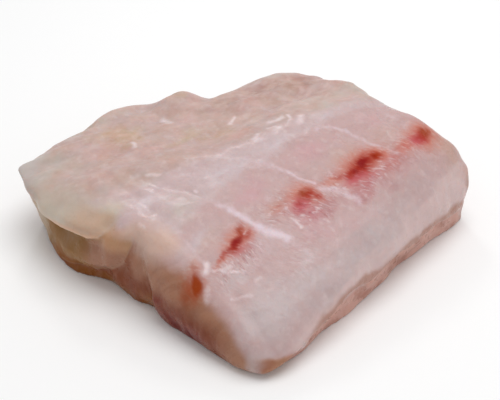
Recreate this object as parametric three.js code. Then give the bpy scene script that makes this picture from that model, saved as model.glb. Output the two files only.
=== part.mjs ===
// A thick portion of raw white fish fillet, cut across from the side of a fish.
// Millimetres, +Z up. It lies on its flat skinned underside, the inner face up.
// +X runs along the fish from the near cut to the far cut, +Y from the back edge to the belly edge.

import * as THREE from 'three';
import { ImprovedNoise } from 'three/addons/math/ImprovedNoise.js';
import { mergeGeometries, mergeVertices } from 'three/addons/utils/BufferGeometryUtils.js';

const { lerp, smoothstep } = THREE.MathUtils;
const noise = new ImprovedNoise();

// Plan: the four edges seen from above, as [station along the edge, place of the edge]
const MEAN_NEAR_X = -50;
const MEAN_FAR_X = 55;
const BACK_Y = -50.5;
const NEAR_EDGE = [
  [-50, -50.8], [-30, -50.4], [-10, -50.2], [-4, -49], [8, -50.2],
  [22, -52.5], [38, -52], [50, -50], [60, -48.5],
];
const FAR_EDGE = [[-50, 54.5], [-35, 53.8], [-15, 55], [4, 56.5], [18, 55], [40, 52]];
const BELLY_EDGE = [
  [-54, 56], [-44, 58.5], [-22, 59.5], [-8, 59.5], [2, 57], [10, 49], [17, 47.5],
  [24, 38.5], [33, 37], [44, 35], [52, 31], [58, 27],
];
const CORNER_CUTS = [
  { along: -1, across: -1, cut: 4.2 },
  { along: 1, across: -1, cut: 2.4 },
  { along: 1, across: 1, cut: 5 },
  { along: -1, across: 1, cut: 1.6 },
];
const CORNER_SHARPNESS = 25;
const EDGE_SHARPNESS = 14;

// Side walls, as [station, size]. The shoulder is the height of the widest line. Under it the flesh
// tucks in, swells out again and stands in at the foot. The roll is the width of the rounded top edge.
const SIDES = {
  near: {
    shoulder: [
      [-50, 3], [-38, 4], [-20, 8], [-5, 10], [2, 13], [7, 16], [11, 18.5], [13.8, 19.7],
      [17.2, 18.6], [22.4, 18.6], [28.4, 17], [33, 15.8], [40.5, 16.2], [47.5, 19.5], [54.5, 23],
    ],
    tuck: [[11, 0], [16, 1.6], [22, 3], [30, 4], [38, 4], [54, 1.2]],
    swell: [
      [-14, 0], [-3, 0.5], [3, 0.1], [7, 0.3], [11, 1.3], [15, 2.6], [22, 4], [28, 4.2], [42, 1.6],
      [54, 0],
    ],
    inset: [
      [-50, 2.6], [-40, 1.8], [-20, 2], [-9, 1.6], [-3, 2.6], [1, 1.1], [6, 1.9], [11, 3.4], [15, 4],
      [18.5, 3.3], [22, 1.9], [26, 0.8], [30, 0.8], [36, 1.7], [44, 3.6], [52, 7],
    ],
    roll: [[-50, 11], [-25, 9], [0, 7.5], [20, 10], [50, 14]],
  },
  far: {
    shoulder: [[-50, 17], [-20, 15], [10, 18], [35, 15]],
    tuck: [[-50, 1.6], [-10, 1.6], [35, 1]],
    swell: [[-50, 0.2], [0, 1.2], [35, 0.6]],
    inset: [[-50, 0.5], [-30, 2.5], [35, 3.5]],
    roll: [[-50, 8], [35, 10]],
  },
  back: {
    shoulder: [
      [-50, 3], [-38, 5.5], [-24, 8.5], [-12, 11.5], [-2, 9.5], [8, 12], [20, 10], [30, 11],
      [45, 8], [56, 13],
    ],
    tuck: [[-42, 0], [-25, 2], [38, 2], [54, 1]],
    swell: [[-42, 0], [-20, 0.8], [38, 0.8], [54, 0]],
    inset: [
      [-50, 4.3], [-44, 4.1], [-38, 2.8], [-30, 2.6], [-22, 3.5], [-12, 2.3], [-2, 2.8], [8, 3.1],
      [16, 4.3], [24, 3.5], [34, 3.5], [42, 2.2], [56, 1],
    ],
    roll: [[-50, 32], [-20, 27], [20, 22], [56, 17]],
  },
  belly: {
    shoulder: [[-50, 20], [-20, 18], [30, 18], [54, 16]],
    tuck: [[-50, 4.5], [-20, 3.2], [56, 2.6]],
    swell: [[-50, 2.6], [-10, 3.2], [30, 2.2], [56, 1.6]],
    inset: [[-50, 8], [-38, 7], [-20, 6], [56, 5]],
    roll: [[-50, 10], [56, 10]],
  },
};

// How the sizes act up a wall, at shares of the shoulder's height
const TUCK_GROWS_TO = 0.4;
const TUCK_ENDS_FROM = 0.84;
const SWELL_ENDS = 0.9;
const SWELL_SOFTNESS = 1.5;
const FOOT_CURVE = 1.6;

// Upper face: its height along the fish, the slope to the back edge, and the crest where the thick loin
// gives way to the thin lining of the belly
const TOP_HEIGHT = [[-50, 25.5], [-20, 29], [20, 32], [56, 33.5]];
const BACK_SLOPE = { drop: 7, fromY: 2, toY: -32, fadeFromX: 40, fadeToX: -48 };
const BACK_EASE = { drop: 2, fromY: -5, toY: -40 };
const CREST_Y = [[-50, 34], [-29, 24], [-10, 10.5], [1, 4.5], [24, -0.5], [40, -7], [54, -13]];
const CREST_RIDGE = { rise: 0.9, offset: -2, reach: 4 };
const BELLY_DROP = [[-50, 1], [-20, 3.5], [20, 3], [54, 1]];
const BELLY_DROP_FROM = -1;
const BELLY_DROP_TO = 16;

// Waves of the upper face along its belly edge and far edge
const EDGE_WAVES = [
  { x: -45, y: 56, reach: 9, rise: -2.1 },
  { x: -32, y: 57, reach: 6, rise: -0.9 },
  { x: -8, y: 53, reach: 3.5, rise: 0.8 },
  { x: 2, y: 50, reach: 4.5, rise: -2.1 },
  { x: 10, y: 42, reach: 5, rise: 2.3 },
  { x: 17, y: 34, reach: 3.5, rise: -2 },
  { x: 31, y: 31, reach: 6.5, rise: -1.8 },
  { x: 45, y: 18, reach: 4.5, rise: -1.6 },
  { x: 50, y: 2, reach: 5, rise: 2.1 },
  { x: 48, y: -14.5, reach: 4, rise: -1.6 },
  { x: 47, y: -27, reach: 5, rise: 1.1 },
  { x: 50, y: -42, reach: 7, rise: -1.4 },
];

// Folds and creases: soft lines raised above the surface or pressed into it
const FOLDS = [
  { name: 'lower edge of the lobe', from: [-53.5, 40, 3.5], to: [-52, 24, 3.7], reach: 1.7, rise: -1 },
  { name: 'lower end of the lobe', from: [-52, 24, 3.7], to: [-49.3, 13.8, 5.8], reach: 1.8, rise: -1.2 },
  { name: 'end of the lobe', from: [-49.3, 13.8, 5.8], to: [-48.8, 6.8, 12.2], reach: 2, rise: -1.8 },
  { name: 'crease beside the lobe', from: [-48.8, 6.8, 12.2], to: [-47.6, 3.4, 20.6], reach: 2.2, rise: -1.4 },
  { name: 'crease over the edge', from: [-47.6, 3.4, 20.6], to: [-45.5, 3.1, 24.3], reach: 2.4, rise: -0.5 },
  { name: 'swollen end of the lobe', from: [-52, 15, 10], to: [-50.5, 9.5, 14], reach: 3.2, rise: 1 },
  { name: 'ridge beside the lip', from: [-50.5, 9.5, 14], to: [-47.5, 7, 22], reach: 2.6, rise: 0.8 },
  { name: 'step beside the cut', from: [-50, -5.5, 0], to: [-49.8, -5.6, 8], reach: 1.8, rise: -1.3 },
  { name: 'step up the cut', from: [-49.8, -5.6, 8], to: [-48, -1.5, 18], reach: 2, rise: -1 },
  { name: 'edge of the cut', from: [-50.5, -9.5, 1], to: [-50.2, -8.6, 9], reach: 1.8, rise: 0.8 },
  { name: 'upper edge of the cut', from: [-50.2, -8.6, 9], to: [-48.5, -4.6, 18], reach: 2, rise: 0.7 },
  { name: 'end of the lip', from: [-51.5, 13, 19.5], to: [-46.5, 11.3, 26], reach: 1.6, rise: -1.1 },
  { name: 'rim of the lip', from: [-53, 40, 18.5], to: [-53.5, 22, 20.5], reach: 2.8, rise: 0.8 },
  { name: 'round end of the lip', from: [-53.5, 22, 20.5], to: [-51, 14.5, 22.5], reach: 2.2, rise: 0.8 },
];

// Sheets of tissue between the flakes: where each crosses SEPTUM_Y, and how it leans along the fish
const SEPTUM_Y = -20;
const SEPTA = [
  { x: -40.2, lean: 0.1 },
  { x: -19.2, lean: -0.3 },
  { x: 3, lean: -0.3 },
  { x: 27.3, lean: -0.2 },
  { x: 41.8, lean: 0.15 },
];
const SEPTUM = { depth: 0.5, reach: 1.8, swell: 0.45, swellOffset: -6, swellReach: 5 };

// Unevenness: the height of each kind, the length of its waves and its layer of the noise
const LINING_CREASES = { rise: 0.75, along: 19, across: 4.6, layer: 0.5 };
const LINING_LUMPS = { rise: 1.0, along: 9, across: 8, layer: 3.5 };
const LOIN_WAVES = { rise: 0.5, along: 13, across: 9, layer: 7.5 };
const CUT_FLAKES = { rise: 0.8, along: 5, up: 9 };

// Where each kind of unevenness lies: by the upward lean of the surface, and by millimetres past the crest
const FACES_UP = { from: 0.25, to: 0.8 };
const FACES_SIDEWAYS = { from: 0.9, to: 0.5 };
const LOIN_ENDS = { from: -6, to: 0 };
const LINING_STARTS = { from: 2, to: 9 };
const FOOT_FADE = 1.6;

// Mesh: cells along and across the upper face, and rings up the wall and round the roll
const CELLS_ALONG = 50;
const CELLS_ACROSS = 46;
const WALL_RINGS = 8;
const ROLL_RINGS = 9;
const RINGS = WALL_RINGS + ROLL_RINGS;
const RING_CROWDING = 0.5;
const JOINING_DISTANCE = 1e-3;

// A smooth curve through [station, value] knots, level beyond the last knots
function curveThrough(knots) {
  const stations = knots.map(([station]) => station);
  const values = knots.map(([, value]) => value);
  const spline = new THREE.CubicInterpolant(stations, values, 1);
  return (station) => spline.evaluate(station)[0];
}

// A soft bump of height 1 at a distance of 0
function bump(distance, reach) {
  return Math.exp(-((distance / reach) ** 2));
}

const nearEdge = curveThrough(NEAR_EDGE);
const farEdge = curveThrough(FAR_EDGE);
const bellyEdge = curveThrough(BELLY_EDGE);
const topHeight = curveThrough(TOP_HEIGHT);
const crestY = curveThrough(CREST_Y);
const bellyDrop = curveThrough(BELLY_DROP);

const sideCurves = {};
for (const [side, sizes] of Object.entries(SIDES)) {
  sideCurves[side] = {};
  for (const [size, knots] of Object.entries(sizes)) {
    sideCurves[side][size] = curveThrough(knots);
  }
}

// Plan places are (a, b): a runs from -1 at the near cut to 1 at the far cut,
// b from -1 at the back edge to 1 at the belly edge
function planPoint(a, b, inward = { near: 0, far: 0, back: 0, belly: 0 }) {
  const meanX = lerp(MEAN_NEAR_X, MEAN_FAR_X, (1 + a) / 2);
  const y = lerp(BACK_Y + inward.back, bellyEdge(meanX) - inward.belly, (1 + b) / 2);
  const x = lerp(nearEdge(y) + inward.near, farEdge(y) - inward.far, (1 + a) / 2);
  return new THREE.Vector2(x, y);
}

// The widest outline, with its corners rounded
function outlinePoint(a, b) {
  const point = planPoint(a, b);
  for (const { along, across, cut } of CORNER_CUTS) {
    const sharpness = CORNER_SHARPNESS / cut;
    const share = Math.max(0, a * along) ** sharpness * Math.max(0, b * across) ** sharpness;
    point.x -= along * cut * share;
    point.y -= across * cut * share;
  }
  return point;
}

// Blends one value for each side by how near the plan place lies to that side
function blendSides(a, b, near, far, back, belly) {
  const weights = [-a, a, -b, b].map((reach) => Math.max(0, reach) ** EDGE_SHARPNESS);
  const total = weights.reduce((sum, weight) => sum + weight);
  return [near, far, back, belly].reduce((sum, value, side) => sum + value * weights[side], 0) / total;
}

function sideSize(size, a, b) {
  const { x, y } = outlinePoint(a, b);
  return blendSides(
    a,
    b,
    sideCurves.near[size](y),
    sideCurves.far[size](y),
    sideCurves.back[size](x),
    sideCurves.belly[size](x),
  );
}

function topZ(x, y) {
  const towardNear = smoothstep(-x, -BACK_SLOPE.fadeFromX, -BACK_SLOPE.fadeToX);
  const slope = BACK_SLOPE.drop * smoothstep(-y, -BACK_SLOPE.fromY, -BACK_SLOPE.toY) * towardNear;
  const ease = BACK_EASE.drop * smoothstep(-y, -BACK_EASE.fromY, -BACK_EASE.toY);
  const pastCrest = y - crestY(x);
  const drop = bellyDrop(x) * smoothstep(pastCrest, BELLY_DROP_FROM, BELLY_DROP_TO);
  const ridge = CREST_RIDGE.rise * bump(pastCrest - CREST_RIDGE.offset, CREST_RIDGE.reach);
  const waves = EDGE_WAVES.reduce(
    (sum, wave) => sum + wave.rise * bump(Math.hypot(x - wave.x, y - wave.y), wave.reach),
    0,
  );
  return topHeight(x) - slope - ease - drop + ridge + waves;
}

// The upper face inside the rolled edges
function upperPoint(a, b) {
  const { x, y } = planPoint(a, b);
  const { near, far, back, belly } = sideCurves;
  const inward = { near: near.roll(y), far: far.roll(y), back: back.roll(x), belly: belly.roll(x) };
  const point = planPoint(a, b, inward);
  return new THREE.Vector3(point.x, point.y, topZ(point.x, point.y));
}

// The wall at a share of the shoulder's height, from 0 at the floor to 1 at the shoulder
function wallPoint(a, b, share) {
  const { x, y } = outlinePoint(a, b);
  const tucked = smoothstep(share, 0, TUCK_GROWS_TO) * (1 - smoothstep(share, TUCK_ENDS_FROM, 1));
  const tuck = sideSize('tuck', a, b) * tucked;
  const inset = sideSize('inset', a, b) * (1 - share) ** FOOT_CURVE;
  const swollen = Math.sin(Math.PI * Math.min(share / SWELL_ENDS, 1)) ** SWELL_SOFTNESS;
  const swell = sideSize('swell', a, b) * swollen;
  const inward = tuck + inset - swell;
  const inwardX = blendSides(a, b, 1, -1, 0, 0) * inward;
  const inwardY = blendSides(a, b, 0, 0, 1, -1) * inward;
  return new THREE.Vector3(x + inwardX, y + inwardY, sideSize('shoulder', a, b) * share);
}

// The rounded edge, from 0 at the shoulder to 1 where it meets the upper face
function rollPoint(a, b, share) {
  if (share === 1) return upperPoint(a, b);
  const turn = (share * Math.PI) / 2;
  const outline = outlinePoint(a, b);
  const upper = upperPoint(a, b);
  const x = lerp(outline.x, upper.x, 1 - Math.cos(turn));
  const y = lerp(outline.y, upper.y, 1 - Math.cos(turn));
  return new THREE.Vector3(x, y, lerp(sideSize('shoulder', a, b), topZ(x, y), Math.sin(turn)));
}

// Rings crowd together at the foot and under the shoulder, where the wall turns most
function ringPoint(a, b, ring) {
  if (ring > WALL_RINGS) return rollPoint(a, b, (ring - WALL_RINGS) / ROLL_RINGS);
  const even = ring / WALL_RINGS;
  return wallPoint(a, b, lerp(even, smoothstep(even, 0, 1), RING_CROWDING));
}

// The plan places round the edge, one for each cell of the upper face, with the first again at the end
function edgePlaces() {
  const places = [];
  for (let i = 0; i < CELLS_ALONG; i += 1) places.push([-1 + (2 * i) / CELLS_ALONG, -1]);
  for (let j = 0; j < CELLS_ACROSS; j += 1) places.push([1, -1 + (2 * j) / CELLS_ACROSS]);
  for (let i = CELLS_ALONG; i > 0; i -= 1) places.push([-1 + (2 * i) / CELLS_ALONG, 1]);
  for (let j = CELLS_ACROSS; j > 0; j -= 1) places.push([-1, -1 + (2 * j) / CELLS_ACROSS]);
  places.push(places[0]);
  return places;
}

// A grid of cells with every vertex carried to the point that place(column, row) gives
function gridSurface(columns, rows, place) {
  const grid = new THREE.PlaneGeometry(1, 1, columns, rows);
  const { position } = grid.attributes;
  for (let i = 0; i < position.count; i += 1) {
    const column = i % (columns + 1);
    const row = rows - Math.floor(i / (columns + 1));
    position.setXYZ(i, ...place(column, row));
  }
  return grid;
}

function upperFace() {
  return gridSurface(CELLS_ALONG, CELLS_ACROSS, (column, row) =>
    upperPoint(-1 + (2 * column) / CELLS_ALONG, -1 + (2 * row) / CELLS_ACROSS),
  );
}

function sideBand(places) {
  return gridSurface(places.length - 1, RINGS, (column, row) => ringPoint(...places[column], row));
}

function underside(places) {
  const rim = places.slice(0, -1).map(([a, b]) => {
    const { x, y } = ringPoint(a, b, 0);
    return new THREE.Vector2(x, y);
  });
  const face = new THREE.ShapeGeometry(new THREE.Shape(rim));
  face.setIndex([...face.index.array].reverse());
  return face;
}

// Joins the surfaces into one closed body whose vertices are shared
function closedBody(surfaces) {
  for (const surface of surfaces) {
    surface.deleteAttribute('normal');
    surface.deleteAttribute('uv');
  }
  return mergeVertices(mergeGeometries(surfaces), JOINING_DISTANCE);
}

function foldRise(point) {
  let rise = 0;
  for (const fold of FOLDS) {
    const line = new THREE.Line3(new THREE.Vector3(...fold.from), new THREE.Vector3(...fold.to));
    const nearest = line.closestPointToPoint(point, true, new THREE.Vector3());
    rise += fold.rise * bump(nearest.distanceTo(point), fold.reach);
  }
  return rise;
}

function septaRise({ x, y }) {
  let rise = 0;
  for (const septum of SEPTA) {
    const past = x - (septum.x + septum.lean * (y - SEPTUM_Y));
    rise += SEPTUM.swell * bump(past - SEPTUM.swellOffset, SEPTUM.swellReach);
    rise -= SEPTUM.depth * bump(past, SEPTUM.reach);
  }
  return rise;
}

// How far a value has gone from one end of a range to the other, eased, from 0 to 1
function shareAlong(value, { from, to }) {
  return from < to ? smoothstep(value, from, to) : 1 - smoothstep(value, to, from);
}

// How far the surface stands out from the plain form, along its normal
function reliefHeight(point, normal) {
  const { x, y, z } = point;
  const pastCrest = y - crestY(x);
  const faceUp = shareAlong(normal.z, FACES_UP);
  const onLoin = faceUp * (1 - shareAlong(pastCrest, LOIN_ENDS));
  const onLining = faceUp * shareAlong(pastCrest, LINING_STARTS);
  const onCut = shareAlong(Math.abs(normal.z), FACES_SIDEWAYS);
  const { along, across, layer } = LINING_CREASES;
  const creases = 1 - 2 * Math.abs(noise.noise(x / along, pastCrest / across, layer));
  const lumps = noise.noise(x / LINING_LUMPS.along, y / LINING_LUMPS.across, LINING_LUMPS.layer);
  const waves = noise.noise(x / LOIN_WAVES.along, y / LOIN_WAVES.across, LOIN_WAVES.layer);
  const flakes = noise.noise(x / CUT_FLAKES.along, y / CUT_FLAKES.along, z / CUT_FLAKES.up);
  const relief =
    foldRise(point) +
    onLoin * (septaRise(point) + LOIN_WAVES.rise * waves) +
    onLining * (LINING_CREASES.rise * creases + LINING_LUMPS.rise * lumps) +
    onCut * CUT_FLAKES.rise * flakes;
  return relief * smoothstep(z, 0, FOOT_FADE);
}

function addRelief(body) {
  body.computeVertexNormals();
  const { position, normal } = body.attributes;
  for (let i = 0; i < position.count; i += 1) {
    const point = new THREE.Vector3().fromBufferAttribute(position, i);
    const outward = new THREE.Vector3().fromBufferAttribute(normal, i);
    point.addScaledVector(outward, reliefHeight(point, outward));
    position.setXYZ(i, ...point);
  }
  return body;
}

// Moves the origin to the middle of the bounding box's floor
function standOnOrigin(body) {
  body.computeBoundingBox();
  const middle = body.boundingBox.getCenter(new THREE.Vector3());
  body.translate(-middle.x, -middle.y, -body.boundingBox.min.z);
  body.computeVertexNormals();
  return body;
}

function filletGeometry() {
  const places = edgePlaces();
  const body = closedBody([upperFace(), sideBand(places), underside(places)]);
  return standOnOrigin(addRelief(body));
}

const fleshMaterial = new THREE.MeshStandardMaterial({ color: 0xc8ada7, roughness: 0.35, metalness: 0 });

const fillet = new THREE.Mesh(filletGeometry(), fleshMaterial);
fillet.name = 'fillet';

const portion = new THREE.Group();
portion.add(fillet);

export default portion;
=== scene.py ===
"""A thick portion of raw white fish fillet, lying inner face up on a pale table.

The CAD solid gives the form. It is copied, evened out into fine cells, and given the grain, sheets and
wrinkles of the flesh as real relief. Each kind of flesh, such as loin, lining or cut, is kept on the mesh
as a mask, and the material lays one layer of colour for each.
"""

import math

import bmesh
import bpy
import numpy as np
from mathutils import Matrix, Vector, noise


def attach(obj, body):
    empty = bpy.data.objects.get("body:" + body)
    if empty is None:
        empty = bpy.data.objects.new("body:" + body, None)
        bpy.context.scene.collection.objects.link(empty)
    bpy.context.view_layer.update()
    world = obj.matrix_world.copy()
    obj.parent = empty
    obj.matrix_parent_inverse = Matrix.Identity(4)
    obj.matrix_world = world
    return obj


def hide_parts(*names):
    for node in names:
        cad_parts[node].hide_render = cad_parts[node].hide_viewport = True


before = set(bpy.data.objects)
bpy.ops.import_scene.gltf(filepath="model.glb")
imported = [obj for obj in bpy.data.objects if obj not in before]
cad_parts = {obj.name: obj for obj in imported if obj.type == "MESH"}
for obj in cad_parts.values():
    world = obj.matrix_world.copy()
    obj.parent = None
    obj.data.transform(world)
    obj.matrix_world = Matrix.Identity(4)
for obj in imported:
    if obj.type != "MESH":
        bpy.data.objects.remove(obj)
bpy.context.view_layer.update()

MM = 0.001

# Camera: a long lens looking down at the near corner, as far off as the photograph's perspective asks
CAMERA_AZIMUTH = -48
CAMERA_ELEVATION = 37
CAMERA_DISTANCE = 310 * MM
CAMERA_AIM = Vector((-1.7, -4.4, 12)) * MM
CAMERA_LENS = 70

# Light: how bright the white room is, and each lamp as its name, place, width and watts, in metres
ROOM_LIGHT = 0.55
LAMPS = [
    ("overhead", (0.1, -0.05, 0.6), 0.5, 2.0),
    ("window behind", (0.28, 0.36, 0.42), 0.12, 0.3),
]
PORTION_MIDDLE = Vector((0, 0, 15)) * MM
TABLE_WIDTH = 6

# Mesh: the size of its cells, and how far the CAD solid's facets are smoothed away
CELL = 0.56 * MM
FLAT_UNDER = 0.15 * MM
SMOOTHING_ROUNDS = 9
SMOOTHING_SHARE = 0.5

# Landmarks on the flesh, in millimetres in the frame: x along the fish, y from back to belly, z up

# How far the fibres lean along the fish for each millimetre toward the back edge, and how far they swing
LEAN = 0.28
FIBRE_SWING = 1.2
# How wide the flakes are where the far cut shows them, and how far their edges bow and wander
FLAKE = 9
FLAKE_BOW = 0.018
FLAKE_WANDER = 4
# Where each side takes over from the top: the near and far sides along x, the back along y
NEAR_SIDE = (-44, -37)
FAR_SIDE = (44, 50)
BACK_SIDE = (-52, -46)
# The heights between which the relief fades out, so that the underside stays flat
FOOT = (0.1, 1.6)
# The thin tip of the folded flap, as (x, y)
FLAP_TIP = (-52, 52)

# Seen from above, as (x, y): where the belly lining ends, and where the loin begins
LINING_EDGE = [
    (-52, 22), (-40, 12.5), (-30, 10.5), (-20, 7), (-10, 3), (0, 0.5), (10, -2), (20, -4), (30, -8),
    (54, -19),
]
LOIN_EDGE = [
    (-52, -10), (-40, -11), (-25, -10), (-10, -8), (0, -8), (10, -10.5), (20, -12.5), (30, -14), (40, -18),
    (54, -24),
]
# The near side seen from outside, as (y, z) from the back edge to the belly edge
BROWN_EDGE = [
    (-58, 2), (-50, 5.5), (-44, 9.8), (-40, 13), (-30, 17), (-26, 19.5), (-20, 21), (-10, 22.5), (0, 24),
    (5, 26), (8, 31),
]
LIP_RIM = [
    (6.6, 27), (7.2, 24), (8.6, 21), (9.8, 19.6), (12.8, 18.6), (18, 18.5), (24, 17), (29, 15.8),
    (36, 15.8), (43, 17.5), (54, 19),
]
LOBE_EDGE = [
    (-1.5, 26), (-1, 20.6), (0.1, 16.3), (2.4, 12.4), (4.8, 10), (9.4, 6.4), (14.5, 4.8), (19.7, 3.6),
    (29, 1.5), (46, 1),
]
CUT_EDGE = [(-11.5, 1), (-10.6, 8), (-9.6, 13), (-8.6, 18)]
# The back side seen from outside, as (x, z): where the band of darker flesh ends, and how far that wanders
RIM_WANDER = 1.3
RIM_EDGE = [
    (-56, 8), (-46, 7), (-42, 6), (-38, 4.6), (-34, 3.6), (-28, 5), (-18, 7.5), (-8, 8), (0, 6.5), (8, 8.5),
    (20, 7.5), (30, 8), (42, 6.5), (56, 6),
]

# Sheets between the flakes, as (x, y) down from the crest
SEPTA = [
    {"line": [(-39, -9), (-40.5, -17), (-42, -25)], "width": 2.2, "strength": 0.35},
    {"line": [(-26, -8), (-23.8, -14)], "width": 2.8, "strength": 0.3},
    {"line": [(-24.4, -12.4), (-23.2, -16)], "width": 3.6, "strength": 0.6},
    {"line": [(-23.2, -16), (-22, -21), (-21.4, -25)], "width": 2.8, "strength": 0.95},
    {"line": [(-21.4, -25), (-20.4, -29), (-18.4, -33.4)], "width": 3.9, "strength": 1.05},
    {"line": [(-18.2, -34), (-17.8, -42)], "width": 2.8, "strength": 0.45},
    {"line": [(-5, -6), (-2.5, -16)], "width": 3.2, "strength": 0.4},
    {"line": [(-2.2, -12.4), (-1.2, -15.6)], "width": 3.0, "strength": 0.5},
    {"line": [(-1.2, -15.6), (-0.3, -19)], "width": 2.2, "strength": 0.65},
    {"line": [(-0.3, -19), (0.8, -23.5), (1.6, -27)], "width": 1.9, "strength": 0.8},
    {"line": [(1.2, -29.5), (3.4, -32), (5.2, -35), (6.2, -41)], "width": 3.0, "strength": 0.6},
    {"line": [(19.5, -13.4), (24, -14.6)], "width": 3.0, "strength": 0.5},
    {"line": [(24, -14.6), (25.6, -18), (26.2, -24), (26.8, -33)], "width": 2.0, "strength": 0.55},
    {"line": [(26.8, -33), (29, -41)], "width": 2.0, "strength": 0.35},
    {"line": [(42.5, -20), (41.5, -28), (40.5, -33)], "width": 1.8, "strength": 0.35},
]

# Scraps of pale membrane and fat that lie on the flesh, and pale strokes that are painted highlights for
# wet glints, as (x, y) from and to, with width and strength
SCRAPS_AND_GLINTS = [
    (-33, 16, -31.4, 14.6, 1.8, 0.3),
    (-29.5, 12.6, -26.6, 9.6, 1.8, 0.65),
    (-23, 7.4, -21, 6.6, 2.6, 0.3),
    (-19.6, 7.4, -16, 5.4, 3.4, 0.4),
    (-38.4, 12, -38.8, 10.4, 2.6, 0.25),
    (-38.8, 8.4, -38.8, 6.8, 3.0, 0.4),
    (-37.8, 5, -37, 3.6, 4.6, 0.6),
    (-35, 1.6, -33.8, -0.4, 3.8, 0.3),
    (-30, 4.6, -27.4, 3, 2.0, 0.2),
    (-37, -7.6, -35.6, -10, 1.8, 0.35),
    (-42.6, -15, -41.8, -18, 3.0, 0.25),
    (-9, 0.6, -6, 1.2, 2.0, 0.45),
    (-4.4, 1.6, -3, -1.5, 1.2, 0.35),
    (-45.6, -1, -45.2, -3.6, 1.2, 0.5),
    (-25.4, -3.8, -25.2, -5, 1.1, 0.8),
    (3.4, -2, 6.2, -0.4, 2.4, 0.75),
    (10.2, -1.2, 12, -2, 1.5, 0.7),
    (12, -2, 12.6, -4.2, 1.5, 0.75),
    (12.6, -4.2, 12, -6.4, 1.3, 0.5),
    (14.4, 1.2, 18, -0.6, 2.8, 0.9),
    (20.8, -0.8, 19.4, -2.8, 1.6, 0.95),
    (19.4, -2.8, 17.2, -4.4, 1.6, 0.65),
    (22, -5, 18.6, -7.4, 3.0, 0.75),
    (18.4, -10.8, 15.4, -12, 1.8, 0.45),
    (8, -7.6, 12.6, -9.6, 2.6, 0.3),
    (24.4, -8.4, 28, -10.4, 2.6, 0.35),
    (-19.8, 28.6, -18.4, 31, 2.0, 0.85),
    (-3.4, 29.4, -2.8, 33, 2.8, 0.8),
    (8, 13, 11.4, 14.4, 2.0, 0.8),
    (-30.5, 46.4, -25.5, 43.6, 1.4, 0.4),
    (-35.6, 42.2, -35, 37.5, 1.6, 0.3),
    (30, 2, 37, 4.4, 1.4, 0.25),
    (-42.6, -25, -41.4, -23.6, 2.6, 1.0),
    (-41, -26.4, -36.6, -28.6, 1.3, 0.75),
    (-39.4, -27.6, -35.8, -31.2, 1.2, 0.8),
    (-26.8, -24.3, -24.4, -24.1, 0.7, 0.5),
    (-43.2, -34.8, -38.8, -38, 1.3, 0.6),
    (-34.6, -36, -33, -36.8, 1.6, 0.55),
    (-34.2, -40.4, -32.8, -41, 1.5, 0.5),
    (-12.5, -30.6, -12.7, -34.4, 1.3, 0.75),
    (-11.2, -40, -10.6, -42.6, 1.1, 0.45),
    (-7.2, -39.8, -7, -42, 1.1, 0.45),
    (-6.2, -37.6, -6, -38.8, 1.4, 0.5),
    (8.6, -27.4, 8, -29.2, 1.2, 0.6),
    (6, -29.6, 6.6, -31, 1.1, 0.4),
    (17, -36, 18.6, -37.6, 1.1, 0.4),
    (-23, -51.6, -25.4, -53, 1.8, 0.4),
    (-16.8, -21, -15.6, -23, 1.0, 0.3),
    (33.6, -30.6, 31.4, -34.2, 1.2, 0.4),
    (27.6, -36.6, 28.2, -38, 1.3, 0.4),
    (-46.0, -28.4, -47.8, -29.8, 2.4, 0.6),
    (-39.4, -50.4, -36.6, -51.4, 1.4, 0.45),
]

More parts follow.
